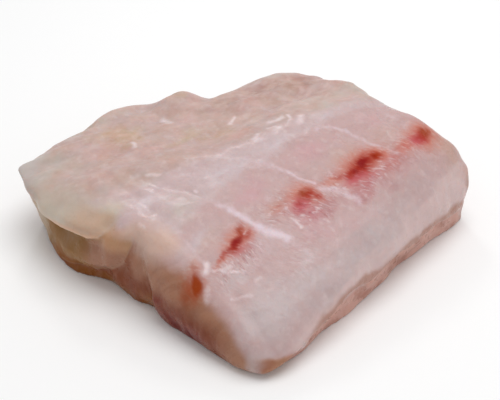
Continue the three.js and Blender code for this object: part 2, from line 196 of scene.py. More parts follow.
# Soft washes of colour on the upper face, as (x, y), reach along x and y, turn in degrees, strength
WASHES = {
    "milky": [
        (-34, 2, 12, 8, -20, 0.35),
        # This patch at the crest's left end is a painted highlight as well as milky flesh
        (-37, 4, 5, 4, 0, 0.9),
        (-13, -5, 12, 6, -12, 0.7),
        (6, -8, 9, 4, -8, 0.7),
        (-2, -10, 6, 4, 0, 0.6),
        (-30, 10, 5, 3, 0, 0.4),
        (27, -11.5, 9, 1.8, -14, 0.5),
        (-24, -31, 5, 9, 15, 0.4),
        (-38, -16.5, 7, 3.6, 0, 0.7),
    ],
    "rosy": [
        (-14, -17, 8, 5, 0, 0.7),
        (10, -17.5, 9, 5, -8, 0.65),
        (-9, -35, 7, 9, 0, 0.6),
        (14, -38, 9, 4, 0, 0.6),
        (35, -23, 7, 6, 0, 0.45),
        (-28, -31, 8, 5, 0, 0.4),
        (-2, -44, 12, 5, 0, 0.35),
    ],
    "dusky": [
        (24, -40.5, 11, 4.4, 0, 0.75),
        (11, -39, 8, 4, 0, 0.8),
        (-2, -35, 8, 4.5, 0, 0.7),
        (35, -41, 8, 3, 0, 0.25),
        (-27, -27, 8, 2.6, 0, 0.6),
        (-14, -27, 5, 3, 0, 0.4),
        (8, -31, 6, 3, -20, 0.5),
    ],
    # Chalky: pale bluish flesh; along the back edge and at the near corner these washes are also painted
    # light, standing for the sheen there
    "chalky": [
        (-38, -45, 12, 8, 0, 1.0),
        (-37, -32, 7, 4, 0, 0.6),
        (-24, -47, 10, 7, 0, 0.8),
        (-4, -54, 36, 10, 0, 0.8),
        (-19, -42, 6, 5, 0, 0.6),
        (30, -52, 14, 4, 0, 0.4),
    ],
    "tan": [
        (46, -46, 8, 7, 0, 0.8),
        (16, -26, 10, 4, 0, 0.5),
        (33, -30, 8, 5, 0, 0.5),
        (-36, -18, 7, 4, 0, 0.55),
        (-46, -20, 4, 6, 0, 0.6),
        (-14, -25, 5, 3, 0, 0.5),
        (-44, 12, 5, 8, 0, 0.4),
    ],
    "tufted": [
        (-13, -25.5, 6, 3.6, 0, 0.8),
        (-6, -32, 7, 5, 0, 1.0),
        (8, -33, 5, 4, 0, 0.8),
        (17, -37, 10, 4, 0, 1.0),
        (32, -38, 6, 4, 0, 0.7),
        (-31, -28.5, 7, 3.6, 0, 0.9),
        (-40, -29, 4, 4, 0, 0.6),
        (-20, -40, 10, 5, 0, 0.35),
    ],
    "ochre": [
        (-18, 37, 6, 8, 25, 1.1),
        (-24, 42, 4, 5, 0, 0.5),
        (-6, 18, 9, 4, -15, 0.75),
        (8, 38, 5, 4, 0, 0.6),
        (-8, 40, 5, 4, 0, 0.4),
        (1, 11, 8, 3.4, -20, 0.7),
    ],
    "flushed": [
        (-24, 34, 8, 6, 0, 0.6),
        (-20, 22, 10, 6, -25, 0.5),
        (2, 26, 9, 6, -20, 0.5),
        (4, 5, 8, 3.2, -10, 0.8),
        (20, 16, 10, 4, -20, 0.5),
        (22, 4, 6, 2.6, -10, 0.4),
        (-12, 48, 6, 4, 0, 0.4),
    ],
    "browned": [
        (38, 12, 8, 6, -30, 1.1),
        (29, 20, 9, 5, -30, 0.8),
        (37, 7, 5, 4, 0, 0.7),
        (14, 22, 9, 5, -30, 0.7),
        (26, 15, 9, 5, -25, 0.6),
        (39, 1, 8, 4, 0, 0.5),
        (46, 4, 6, 6, 0, 0.5),
        (0, 14, 10, 4, -25, 0.4),
        (-38, 20, 6, 5, 0, 0.3),
        (-37, -8, 8, 4, 0, 0.25),
    ],
    "greyed": [
        (-46, 44, 14, 12, 0, 1.0),
        (-50, 28, 8, 10, 0, 0.8),
        (34, -4, 12, 8, -15, 0.7),
        (46, -6, 7, 8, 0, 0.6),
        (-28, 48, 8, 5, 0, 0.4),
        (-16, 52, 14, 6, 0, 1.3),
        (-41, 34, 8, 8, 0, 0.5),
        (-41, 26, 6, 5, 0, 0.4),
        (41, 21, 5, 6, 30, 1.1),
        (48, -11, 6, 6, 0, 1.0),
        (-30, 11, 6, 4, 0, 0.5),
        (-33, -5, 9, 6, 0, 0.5),
        (-43, 18, 6, 5, 0, 0.4),
        (0, 31, 6, 4, 0, 0.4),
    ],
}

# Soft washes of colour on the near side, seen from outside, as (y, z), reach along y and z, turn, strength.
# The dark reds low on the side are the cut's own colour, and painted shade as well.
NEAR_WASHES = {
    "maroon": [
        (-19, 3, 7, 5, 0, 0.8),
        (-27, 4, 6, 4.5, 0, 0.9),
        (-14, 9, 3, 5, 0, 0.6),
        (-22, 10, 6, 4, 0, 0.4),
    ],
    "oxblood": [
        (-24, 2.5, 5, 3, 0, 0.8),
        (-12.5, 4, 1.8, 5, 0, 0.7),
    ],
    "russet": [
        (3, 6, 7, 6, 20, 0.8),
        (-0.5, 14, 3.4, 7, 0, 0.8),
        (-6, 2, 5, 6, 0, 0.8),
        (-9, 10, 3, 5, 0, 0.6),
        (9, 2, 10, 4, -10, 1.0),
        (-38, 3, 6, 3, 0, 0.4),
        (-25, 14, 3, 4, 0, 0.6),
    ],
    "ember": [
        (-8.5, 2, 4, 6, 0, 0.9),
        (13, 1, 16, 3.6, 0, 1.2),
    ],
    "pearly": [
        (-48.2, 6.5, 2.6, 6, 0, 1.3),
    ],
    "silvery": [
        (-8, 21, 8, 3.4, 0, 0.8),
        (0, 23, 6, 3, 0, 0.4),
    ],
}

# The bloodline marks, built up from blots of each tone, given like the washes
BLOOD = {
    "halo": [
        (-47.0, -24.4, 4.0, 4.4, 0, 0.5),
        (-44.4, -22.4, 3.4, 2.6, 0, 0.4),
        (-44.9, -26.4, 2.4, 0.9, 53, 0.45),
        (-29, -24.2, 7, 3.6, 6, 0.9),
        (-37, -25.7, 5.0, 1.3, 10, 0.75),
        (-25, -25, 3.4, 2.6, 0, 0.65),
        (-4.2, -27.6, 6.8, 5, -10, 0.85),
        (-2, -31, 3.4, 3.4, -50, 0.6),
        (-12.5, -25, 4.5, 3.2, 0, 0.45),
        (6.4, -30.8, 5.4, 2.4, -28, 0.7),
        (17.4, -32.6, 10.5, 5.4, -6, 1.0),
        (24, -34.4, 4.4, 4.8, 0, 0.9),
        (41, -38.6, 7.4, 6, 0, 0.95),
        (33, -38.2, 6.4, 3.6, 0, 0.75),
        (24, -39, 8, 3.6, 0, 0.4),
    ],
    "magenta": [
        (-7.4, -29.8, 3.8, 3.0, 10, 0.9),
        (-7.2, -33.4, 3.8, 3.4, 0, 0.5),
        (13, -34.6, 5.4, 2.8, -8, 1.0),
        (15, -37.8, 6, 2.6, 0, 0.5),
        (24, -38, 6, 3, 0, 0.3),
        (10, -39, 5, 2.4, 0, 0.25),
        (38.4, -38.8, 4.4, 2.8, 0, 0.9),
        (-31, -26.8, 4.4, 1.8, -6, 0.5),
        (33, -38.6, 4, 2, 0, 0.4),
    ],
    "red": [
        (-30.6, -24.9, 4.0, 1.6, 6, 1.1),
        (-27.2, -23.2, 3.2, 1.5, 36, 0.7),
        (-26.2, -25, 3.2, 1.3, 17, 0.65),
        (-27.8, -24.2, 2.4, 1.5, 10, 0.85),
        (-35.6, -25.2, 3.6, 1.0, 10, 0.7),
        (-33.6, -25.1, 2.8, 1.2, 8, 0.8),
        (-3.2, -28.6, 3.2, 2.4, -10, 0.9),
        (-1.8, -31, 1.7, 2.2, 20, 0.8),
        (-7.4, -29, 2.2, 1.4, 0, 0.6),
        (17.4, -32.9, 6.2, 3.4, 0, 1.05),
        (12.6, -32.6, 3.2, 2.0, 0, 1.0),
        (22.6, -34.2, 2.9, 2.6, -20, 1.0),
        (8.8, -31.2, 2.8, 1.0, -30, 0.6),
        (41, -38.7, 3.8, 2.8, 0, 0.75),
        (31.6, -37.4, 2.6, 1.6, 0, 0.35),
    ],
    "rust": [
        (-46.9, -25.3, 3.1, 1.7, 53, 1.15),
        (-48.6, -24.4, 3.4, 4.6, 0, 0.6),
        (-45.0, -22.4, 2.8, 1.3, 50, 0.5),
        (-49.2, -26.4, 1.6, 2.6, 0, 0.6),
        (43, -38.6, 2.4, 2.0, 0, 0.8),
        (-3.6, -27.4, 2.4, 1.5, 0, 0.7),
        (22.8, -34, 2.2, 1.6, 0, 0.6),
        (-26.8, -22.8, 3.0, 1.3, 40, 0.6),
    ],
    "core": [
        (-30, -24.8, 2.6, 1.4, 4, 0.85),
        (-33, -24.9, 2.0, 1.0, 8, 0.5),
        (18, -32.6, 3.0, 2.0, 4, 1.05),
        (13.7, -32.9, 2.2, 1.7, 0, 0.75),
        (22.2, -34, 1.6, 1.2, 0, 0.6),
        (-2.8, -28.7, 1.7, 1.3, 0, 0.4),
        (41.2, -38.8, 1.5, 1.2, 0, 0.25),
    ],
}

# Relief: each noise as what it is laid along, the size of its waves along x, y and z, and its seed
NOISES = {
    "swells": ("flesh", (9.0, 7.0, 8.0), 23.0),
    "pits": ("flesh", (3.6, 3.6, 3.6), 41.0),
    "flakes": ("flesh", (3.0, 2.6, 7.0), 31.0),
    "grain": ("fibres", (1.8, 7.0, 5.0), 3.0),
    "tufts": ("fibres", (1.0, 3.0, 3.0), 5.0),
    "ripples": ("lining", (8.0, 2.6, 3.0), 11.0),
    "lumps": ("lining", (6.0, 4.0, 5.0), 13.0),
    "folds": ("lining", (16.0, 5.0, 6.0), 19.0),
}
# How far each noise moves each kind of flesh, in millimetres
RELIEF = [
    ("top", "swells", 0.3),
    ("loin", "grain", 0.05),
    ("loin", "pits", 0.1),
    ("crest", "ripples", 0.13),
    ("crest", "pits", 0.14),
    ("lining", "lumps", 0.22),
    ("lining", "folds", 0.1),
    ("tufted", "tufts", 0.2),
    ("side", "flakes", 0.12),
    ("side", "pits", 0.1),
    ("hidden", "lumps", 0.3),
    ("hidden", "pits", 0.12),
]
# The share of the sides' relief that the smooth lobe goes without
SMOOTH_LOBE = 0.7
# How far the narrow forms stand out of the flesh, in millimetres
RIDGES = {"septa": 0.16, "scraps_and_glints": 0.12, "lip_rim": 0.4, "groove_and_shade_under_lip": -0.4, "cut_rim": 0.15}


# Numbers


def curve_through(knots):
    """A smooth curve through (station, value) knots, as a function of an array of stations."""
    stations, values = (np.array(column, dtype=float) for column in zip(*knots))
    slopes = np.gradient(values, stations)

    def value_at(place):
        i = np.clip(np.searchsorted(stations, place) - 1, 0, len(stations) - 2)
        span = stations[i + 1] - stations[i]
        t = np.clip((place - stations[i]) / span, 0, 1)
        rise = values[i + 1] - values[i]
        start = slopes[i] * span
        end = slopes[i + 1] * span
        return values[i] + start * t + (3 * rise - 2 * start - end) * t**2 + (start + end - 2 * rise) * t**3

    return value_at


def ramp(value, low, high):
    """0 on low's side, 1 on high's side and smooth between."""
    t = np.clip((value - low) / (high - low), 0, 1)
    return t * t * (3 - 2 * t)


def fade(value, low, high):
    """1 on low's side, 0 on high's side and smooth between."""
    return 1 - ramp(value, low, high)


def bump(distance, reach):
    """1 where the distance is 0, down to about a third at the reach, and then soon 0."""
    return np.exp(-((distance / reach) ** 2))


def beside(path, u, v):
    """Millimetres from each place to a path, positive on the path's left and negative on its right."""
    nearest = np.full(u.shape, np.inf)
    side = np.ones(u.shape)
    for (u0, v0), (u1, v1) in zip(path, path[1:]):
        along_u, along_v = u1 - u0, v1 - v0
        share = np.clip(((u - u0) * along_u + (v - v0) * along_v) / (along_u**2 + along_v**2), 0, 1)
        gap_u = u - u0 - share * along_u
        gap_v = v - v0 - share * along_v
        gap = np.hypot(gap_u, gap_v)
        closer = gap < nearest
        nearest = np.where(closer, gap, nearest)
        side = np.where(closer, np.sign(along_u * gap_v - along_v * gap_u), side)
    return nearest * side


def blots(places, spots):
    """Soft elliptical spots laid over each other, 0 away from them."""
    x, y = places[:, 0], places[:, 1]
    total = np.zeros(len(places))
    for spot_x, spot_y, along, across, turn, strength in spots:
        cosine, sine = math.cos(math.radians(turn)), math.sin(math.radians(turn))
        past_x, past_y = x - spot_x, y - spot_y
        u = (past_x * cosine + past_y * sine) / along
        v = (past_y * cosine - past_x * sine) / across
        total = np.maximum(total, strength * np.exp(-(u**2) - v**2))
    return total


def noise_at(points, sizes, seed):
    """Smooth noise from -1 to 1 whose waves have those sizes along x, y and z."""
    scaled = points / np.array(sizes) + seed
    return np.array([noise.noise(Vector(p)) for p in scaled])


lining_edge = curve_through(LINING_EDGE)
loin_edge = curve_through(LOIN_EDGE)


# Mesh


def fine_copy(node):
    """A copy of the CAD solid in even cells, with its facets smoothed."""
    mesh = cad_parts[node].data.copy()
    flesh = bpy.data.objects.new("fillet_flesh", mesh)
    bpy.context.collection.objects.link(flesh)
    remesh = flesh.modifiers.new("even cells", "REMESH")
    remesh.mode = "VOXEL"
    remesh.voxel_size = CELL
    smooth = flesh.modifiers.new("soft facets", "SMOOTH")
    smooth.factor = SMOOTHING_SHARE
    smooth.iterations = SMOOTHING_ROUNDS
    applied = flesh.evaluated_get(bpy.context.evaluated_depsgraph_get())
    flesh.data = bpy.data.meshes.new_from_object(applied)
    flesh.modifiers.clear()
    flesh.data.materials.clear()
    thin_underside(flesh.data)
    return flesh


def thin_underside(mesh):
    """Joins the cells of the flat underside, which need no relief."""
    body = bmesh.new()
    body.from_mesh(mesh)
    under = [face for face in body.faces if all(vertex.co.z < FLAT_UNDER for vertex in face.verts)]
    joined = bmesh.ops.dissolve_faces(body, faces=under, use_verts=True)["region"]
    for vertex in {vertex for face in joined for vertex in face.verts}:
        vertex.co.z = 0
    bmesh.ops.triangulate(body, faces=joined)
    body.to_mesh(mesh)
    body.free()


def vertex_places(mesh):
    places = np.empty(len(mesh.vertices) * 3)
    mesh.vertices.foreach_get("co", places)
    return places.reshape(-1, 3) / MM


def vertex_normals(mesh):
    normals = np.empty(len(mesh.vertices) * 3)
    mesh.vertices.foreach_get("normal", normals)
    return normals.reshape(-1, 3)


def wandered(places, reach, size, seed):
    """The places, each carried sideways by smooth noise, so that what is drawn on them wanders too."""
    sizes = (size, size, size)
    shift_x = noise_at(places, sizes, seed)
    shift_y = noise_at(places, sizes, seed + 7.3)
    return places + reach * np.stack([shift_x, shift_y, np.zeros(len(places))], axis=1)


def torn(places, reach, width, length, seed):
    """The places, each carried along the fibres by streaky noise, so that what is drawn is frayed."""
    x, y, z = places.T
    flowing = np.stack([x + LEAN * y, y, z], axis=1)
    shift = noise_at(flowing, (width, length, length), seed)
    return places + reach * np.stack([-LEAN * shift, shift, np.zeros(len(places))], axis=1)


def septa_mask(places):
    total = np.zeros(len(places))
    for septum in SEPTA:
        gap = np.abs(beside(septum["line"], places[:, 0], places[:, 1]))
        total = np.maximum(total, septum["strength"] * bump(gap, septum["width"] / 2))
    return total


def scraps_and_glints_mask(places):
    total = np.zeros(len(places))
    for x0, y0, x1, y1, width, strength in SCRAPS_AND_GLINTS:
        gap = np.abs(beside([(x0, y0), (x1, y1)], places[:, 0], places[:, 1]))
        total = np.maximum(total, strength * bump(gap, width / 2))
    return total


def near_side(points, normals):
    """The near side, up to the belly edge and the underside of the flap."""
    x, y, z = points.T
    facing_belly = ramp(y, 30, 40) * ramp(normals[:, 1], 0.45, 0.85) * fade(normals[:, 2], 0.3, 0.7)
    under_flap = ramp(y, 40, 54) * fade(z, 14, 20)
    return fade(x, *NEAR_SIDE) * (1 - facing_belly) * (1 - under_flap)


def top_patches(points, wash_places, up):
    """The upper face: loin, crest and lining, the sheets and bits of membrane that lie on them with pale
    strokes that are painted glints, and the washes, a few of which are painted light.
    """
    x, y, _ = points.T
    past_lining = y - lining_edge(x)
    past_loin = y - loin_edge(x)
    upward = ramp(up, -0.1, 0.3)
    level = ramp(up, 0.4, 0.75)
    masks = {
        "lining": ramp(past_lining, -3, 3.5),
        "crest": ramp(past_loin, -1.5, 1.5) * fade(past_lining, -3, 3.5),
        "loin": fade(past_loin, -1.5, 1.5),
        "wet": level * ramp(past_loin, -3, 2) * fade(past_lining, 0, 6),
        "septa": upward * septa_mask(wandered(points, reach=0.6, size=3.0, seed=61.0)),
        # Pale membrane, and pale strokes that are painted highlights for wet glints
        "scraps_and_glints": level * scraps_and_glints_mask(wandered(points, reach=0.6, size=3.0, seed=71.0)),
    }
    for name, spots in WASHES.items():
        masks[name] = upward * blots(wash_places, spots)
    return masks


def near_patches(points, wash_places, near):
    """The near side: its brown cut face, and the flap folded over it, with a pale lip and a smooth lobe.
    Their browns are painted darker as well, as painted shade for this side, with painted shade under the
    lip and at the lobe's foot, and painted light along the top edge and on the lip's rim.
    """
    x, y, z = points.T
    below_brown = -beside(BROWN_EDGE, y, z)
    above_lip = beside(LIP_RIM, y, z)
    past_cut = beside(CUT_EDGE, y, z)
    in_lobe = ramp(beside(LOBE_EDGE, y, z), -0.8, 0.8)
    near_face = near * (1 - in_lobe) * ramp(below_brown, -2, 4)
    lobe = near * fade(above_lip, -0.7, 0.3) * in_lobe
    lip_edge = ramp(above_lip / (1 + 5 * ramp(z, 19, 25)), -0.7, 0.5)
    lip = fade(x, -50, -36) * lip_edge * bump(np.maximum(above_lip, 0), 9)
    lip *= 1 - 0.8 * ramp(y, 30, 47)
    masks = {
        "near_face": near_face,
        # Painted shade: the near face darker toward its foot, where it gets the least light
        "umber": near_face * fade(z, 5, 17) * ramp(y, -47, -30),
        "cut_rim": near * bump(past_cut - 0.6, 1.3) * fade(z, 14, 20),
        # Painted light: a paler band along the rounded top edge of the near face, where it catches the
        # light
        "edge_light": near * ramp(y, -22, -8) * fade(y, -1, 5) * bump(z - 24, 3),
        "lobe": lobe * fade(z, 19, 24),
        "lobe_grey": lobe * ramp(y, 31, 48),
        "lobe_end": lobe * fade(y, 7, 22) * fade(z, 16, 25),
        # Painted shade: the lobe darker and more orange toward its foot, where it curves under
        "lobe_foot_shade": lobe * fade(z, 2, 9) * ramp(y, 4, 12) * fade(y, 28, 40),
        "ridge": lobe * ramp(z, 14, 21) * fade(z, 22, 26),
        "lip": lip,
        "lip_tan": lip * fade(y, 14, 30) * fade(z, 24.5, 27),
        # The lip's rim, raised and painted paler: painted light where its rounded edge catches the lamps
        "lip_rim": near * bump(above_lip - 0.4, 1.3) * fade(y, 26, 34) * fade(z, 18, 24),
        # Painted shade: a dark line under the lip's rim, where its shadow falls, also cut in as a groove
        "groove_and_shade_under_lip": near * bump(above_lip + 1.3, 1.2) * ramp(y, 6, 10),
    }
    washed = near * (1 - lobe) * ramp(below_brown, -4, 4)
    seen_from_near = np.stack([wash_places[:, 1], z], axis=1)
    for name, spots in NEAR_WASHES.items():
        masks[name] = washed * blots(seen_from_near, spots)
    return masks


def hidden_patches(points, up, near, far):
    """The far cut, the belly edge with the tip of the flap, and the underside."""
    x, y, z = points.T
    tip = bump(np.hypot(x - FLAP_TIP[0], y - FLAP_TIP[1]), 12) * ramp(z, 12, 20)
    belly = (1 - near) * ramp(y - lining_edge(x), 20, 30) * fade(up, 0.0, 0.6)
    return {
        "far_cut": far,
        "belly_side": belly * (1 - tip),
        "tip": tip,
        "hidden": np.maximum(belly, far),
        "underside": fade(up, -0.8, -0.4),
    }


def back_patches(points, up, far):
    """The back side: a slope painted paler, as painted light, less so toward the near corner, and below it
    the band of darker flesh, browner at the near corner, with a painted shadow line just above the band.
    """
    x, y, z = points.T
    below_rim = RIM_WANDER * noise_at(points, (8.0, 8.0, 8.0), 67.0) - beside(RIM_EDGE, x, z)
    facing_back = fade(y, -50, -42) * (1 - far) * fade(up, 0.3, 0.85)
    behind = fade(y, *BACK_SIDE) * (1 - far)
    rim = behind * ramp(below_rim, -1.5, 1.5)
    return {
        # Painted light: the slope facing the back is painted paler to make up for the light it lacks, less
        # so toward the near corner
        "slope": facing_back * fade(below_rim, -1.5, 1.5) * (0.3 + 0.7 * ramp(x, -44, -32)),
        "rim": rim,
        "heel": rim * fade(x, -43, -34),
        # Painted shadow: a dark line just above the band, under the slope's lower edge
        "rim_edge_shadow": behind * bump(below_rim + 3, 2.2) * ramp(x, -40, -25),
    }


def patches(points, normals):
    """How much of each place belongs to each kind of flesh, from 0 to 1.

    The ends of the ramps and fades, here and in the functions for each side, are millimetres in the frame,
    or how much the surface faces an axis.
    """
    up = normals[:, 2]
    near = near_side(points, normals)
    far = ramp(points[:, 0], *FAR_SIDE) * fade(up, 0.25, 0.7)
    wash_places = wandered(points, reach=3.0, size=5.0, seed=81.0)
    blood_places = wandered(points, reach=0.5, size=3.0, seed=91.0)
    blood_places = torn(blood_places, reach=0.6, width=0.9, length=5.0, seed=97.0)
    masks = {
        **top_patches(points, wash_places, up),
        **near_patches(points, wash_places, near),
        **hidden_patches(points, up, near, far),
        **back_patches(points, up, far),
    }
    for name, spots in BLOOD.items():
        masks[name] = ramp(points[:, 2], 8, 16) * blots(blood_places, spots)
    return masks


def relief_noises(points):
    """The noises that shape the relief, each laid along the flesh, its fibres or the lining's edge."""
    x, y, z = points.T
    swing = FIBRE_SWING * noise_at(points, (7.0, 7.0, 7.0), 47.0)
    grounds = {
        "flesh": points,
        "fibres": np.stack([x + LEAN * y + swing, y, z], axis=1),
        "lining": np.stack([x, y - lining_edge(x), z], axis=1),
    }
    noises = {}
    for name, (ground, sizes, seed) in NOISES.items():
        noises[name] = noise_at(grounds[ground], sizes, seed)
    noises["folds"] = 1 - 2 * np.abs(noises["folds"])
    return noises


def add_relief(flesh, masks):
    """Moves the surface out and in along its normals by the forms of each kind of flesh."""
    mesh = flesh.data
    points = vertex_places(mesh)
    normals = vertex_normals(mesh)
    noises = relief_noises(points)
    top = ramp(normals[:, 2], 0.1, 0.5)
    side = 1 - ramp(np.abs(normals[:, 2]), 0.45, 0.85)
    where = {
        "top": top,
        "side": side * (1 - SMOOTH_LOBE * masks["lobe"]),
        "loin": top * masks["loin"],
        "crest": top * masks["crest"],
        "lining": top * masks["lining"],
        "tufted": masks["tufted"],
        "hidden": masks["hidden"],
    }
    rise = sum(height * where[kind] * noises[name] for kind, name, height in RELIEF)
    rise += sum(height * masks[name] for name, height in RIDGES.items())
    rise *= ramp(points[:, 2], *FOOT)
    points += normals * rise[:, None]
    points[:, 2] = np.maximum(points[:, 2], 0)
    mesh.vertices.foreach_set("co", (points * MM).ravel())
    mesh.update()


def keep_on_mesh(mesh, name, values):
    layer = mesh.attributes.new(name, "FLOAT", "POINT")
    layer.data.foreach_set("value", np.asarray(values, dtype=np.float32))


def make_flesh():
    """The portion with its relief. Its mesh keeps the masks and places that the material reads."""
    flesh = fine_copy("fillet")
    places = vertex_places(flesh.data)
    masks = patches(places, vertex_normals(flesh.data))
    add_relief(flesh, masks)
    drifted = wandered(places, reach=2.5, size=9.0, seed=51.0)
    bowed = places[:, 1] + FLAKE_BOW * places[:, 2] ** 2
    keep_on_mesh(flesh.data, "past_lining", drifted[:, 1] - lining_edge(places[:, 0]))
    keep_on_mesh(flesh.data, "across_flakes", drifted[:, 0] + LEAN * places[:, 1])
    keep_on_mesh(flesh.data, "end_on", bowed + FLAKE_WANDER * noise_at(places, (14.0, 14.0, 14.0), 57.0))
    for name, mask in masks.items():
        keep_on_mesh(flesh.data, name, mask)
    flesh.data.materials.append(flesh_material())
    flesh.data.shade_smooth()
    return flesh


# Materials

# Colours are given as they look, from 0 to 255, and sizes in millimetres

PALE_FLESH = (193, 163, 161)
# Layers of colour on the flesh, laid in this order: the mask, the colour, how strong the layer is, and how
# ragged noise makes its edge
LAYERS = [
    ("rosy", (200, 156, 160), 0.75, 0.5),
    ("tan", (194, 160, 145), 0.7, 0.5),
    ("dusky", (178, 126, 126), 0.85, 0.6),
    # Chalky washes, partly painted light along the back edge and near corner
    ("chalky", (196, 181, 181), 0.8, 0.4),
    ("crest", (199, 178, 178), 0.6, 0.5),
    # Milky washes, with a painted highlight at the crest's left end
    ("milky", (201, 184, 187), 0.8, 0.6),
    ("lining", (185, 160, 156), 1.0, 0.6),
    ("flushed", (198, 154, 146), 0.7, 0.6),
    ("ochre", (182, 158, 124), 0.85, 0.6),
    ("greyed", (189, 180, 171), 0.85, 0.5),
    ("browned", (164, 128, 118), 0.9, 0.5),
]

SIDE_LAYERS = [
    ("underside", (190, 168, 160), 1.0, 0.2),
    ("far_cut", (186, 144, 132), 0.9, 0.4),
    ("belly_side", (176, 142, 118), 0.9, 0.4),
    ("tip", (184, 179, 176), 0.7, 0.4),
    # Painted light on the back slope
    ("slope", (216, 190, 187), 0.8, 0.5),
    ("rim", (208, 160, 146), 0.9, 0.4),
    ("heel", (160, 112, 76), 0.8, 0.4),
    # Painted shadow just above the band at the back
    ("rim_edge_shadow", (168, 118, 98), 0.75, 0.5),
    # The near face and its darker foot: the cut's own brown, painted darker as well, as painted shade for
    # the side that faces away from the lamps, darkest toward the foot
    ("near_face", (164, 116, 90), 0.95, 0.3),
    ("umber", (121, 54, 24), 0.95, 0.3),
    ("silvery", (190, 160, 148), 0.9, 0.3),
    ("pearly", (188, 170, 168), 0.9, 0.3),
    # The near washes' dark reds: the cut's own colour, and painted shade as well
    ("russet", (126, 60, 16), 0.9, 0.3),
    ("maroon", (112, 24, 6), 1.0, 0.3),
    ("ember", (132, 74, 12), 1.0, 0.3),
    ("oxblood", (100, 8, 2), 0.8, 0.3),
    ("cut_rim", (176, 132, 110), 0.35, 0.2),
    # The lobe's own olive brown, painted darker too as painted shade on the near side
    ("lobe", (146, 104, 58), 1.0, 0.2),
    ("lobe_grey", (194, 174, 152), 0.9, 0.2),
    ("lobe_end", (161, 115, 92), 1.0, 0.2),
    # Painted shade at the lobe's foot
    ("lobe_foot_shade", (142, 82, 32), 0.8, 0.2),
    ("ridge", (196, 152, 118), 0.7, 0.2),
    # Painted light along the near face's top edge
    ("edge_light", (206, 174, 158), 0.85, 0.2),
    ("lip", (204, 190, 174), 0.95, 0.2),
    ("lip_tan", (193, 160, 137), 0.85, 0.2),
    # Painted light on the lip's rim
    ("lip_rim", (216, 174, 144), 0.7, 0.2),
    # Painted shade under the lip
    ("groove_and_shade_under_lip", (124, 84, 48), 0.2, 0.2),
]

# Blotches, as colour, size, seed and strength: on the belly lining, on all the pale flesh, on the darker
# flesh at the back edge, and on the far cut and the belly edge
LINING_BLOTCHES = [
    ((182, 153, 136), 8, 15, 0.6),
    ((202, 158, 150), 7, 16, 0.4),
    ((214, 194, 188), 4, 24, 0.22),
]
PALE_BLOTCHES = [
    ((226, 212, 212), 2.6, 11, 0.16),
    ((150, 116, 112), 3.4, 12, 0.12),
]
RIM_BLOTCHES = [
    ((150, 88, 66), 7, 17, 0.5),
]
HIDDEN_BLOTCHES = [
    ((206, 164, 154), 9, 18, 0.5),
    ((152, 106, 86), 6, 19, 0.4),
    ((216, 190, 182), 4, 20, 0.3),
]
# Streaks, as colour, width, length, seed and strength: drawn out along the lining, light and dark fibres
# seen end on in the cuts, and the tufts of fibre round the blood with the gaps between them. The light
# tufts are also a painted highlight, standing for the wet glints on the fibres.
LINING_STREAKS = [
    ((204, 160, 152), 3.6, 9.0, 2, 0.15),
    ((212, 190, 184), 3.0, 5.0, 3, 0.25),
]
CUT_STREAKS = [
    ((186, 138, 120), 2.2, 9, 7, 0.18),
    ((100, 46, 34), 2.2, 9, 8, 0.18),
]
TUFT_STREAKS = [
    ((164, 90, 90), 0.9, 2.4, 5, 0.6),
    ((230, 206, 208), 0.8, 2.2, 4, 0.65),
]
# The pale edges of the flakes on the far cut, as colour and strength
FLAKE_EDGE = ((222, 196, 188), 0.4)
# Tones of the blood, from its halo in to its core: mask, colour, strength, and the two ends of its edge
BLOOD_TONES = [
    ("halo", (196, 112, 88), 0.85, 0.0, 1.0),
    ("magenta", (184, 70, 84), 0.8, 0.0, 1.0),
    ("red", (160, 34, 4), 0.95, 0.05, 1.0),
    ("rust", (150, 56, 6), 0.95, 0.05, 1.0),
    ("core", (136, 4, 1), 1.0, 0.15, 0.95),
]
# How much the fibres fray the blood's edge
BLOOD_FRAY = 0.12
# Pale membranes, the second with pale strokes that are painted glints: mask, colour, strength, seed and
# where the edge ends
SHEETS = ("septa", (222, 204, 212), 0.9, 31, 1.2)
MEMBRANE_AND_GLINTS = ("scraps_and_glints", (230, 214, 216), 0.95, 32, 1.3)

# Wet sheen: each as its value on plain flesh, and what a kind of flesh adds to it
ROUGHNESS = 0.24
DULL_SPOTS = 0.22
DULL_LINING = 0.12
DEPTH = 0.35
DEPTH_IN_BLOOD = -0.28
GLOSS = 0.3
GLOSS_ON_BLOOD = -0.2
COAT = 0.08
COAT_ON_WET = 0.25
# Relief too fine for the mesh: its height, and the lumps' share of it
FINE_RELIEF = 0.12 * MM
FINE_LUMPS = 0.4


def new_material(name):
    material = bpy.data.materials.new(name)
    material.use_nodes = True
    return material, material.node_tree.nodes, material.node_tree.links


def seen(red, green, blue):
    """A colour given as it looks, from 0 to 255, as the linear colour that a shader takes."""
    shares = [value / 255 for value in (red, green, blue)]
    linear = [share / 12.92 if share <= 0.04045 else ((share + 0.055) / 1.055) ** 2.4 for share in shares]
    return (*linear, 1)


def start_group(name, inputs):
    """A node group with those (name, default) number inputs and one output, a mask."""
    group = bpy.data.node_groups.new(name, "ShaderNodeTree")
    for label, default in inputs:
        socket = group.interface.new_socket(label, in_out="INPUT", socket_type="NodeSocketFloat")
        socket.default_value = default
    group.interface.new_socket("Mask", in_out="OUTPUT", socket_type="NodeSocketFloat")
    nodes = group.nodes
    return group, nodes, group.links, nodes.new("NodeGroupInput"), nodes.new("NodeGroupOutput")


def sharpen(nodes, links, value, given, result):
    """Turns a value into the group's mask: 0 at From, 1 at To."""
    contrast = nodes.new("ShaderNodeMapRange")
    contrast.interpolation_type = "SMOOTHSTEP"
    links.new(value, contrast.inputs["Value"])
    links.new(given.outputs["From"], contrast.inputs["From Min"])
    links.new(given.outputs["To"], contrast.inputs["From Max"])
    links.new(contrast.outputs["Result"], result.inputs["Mask"])


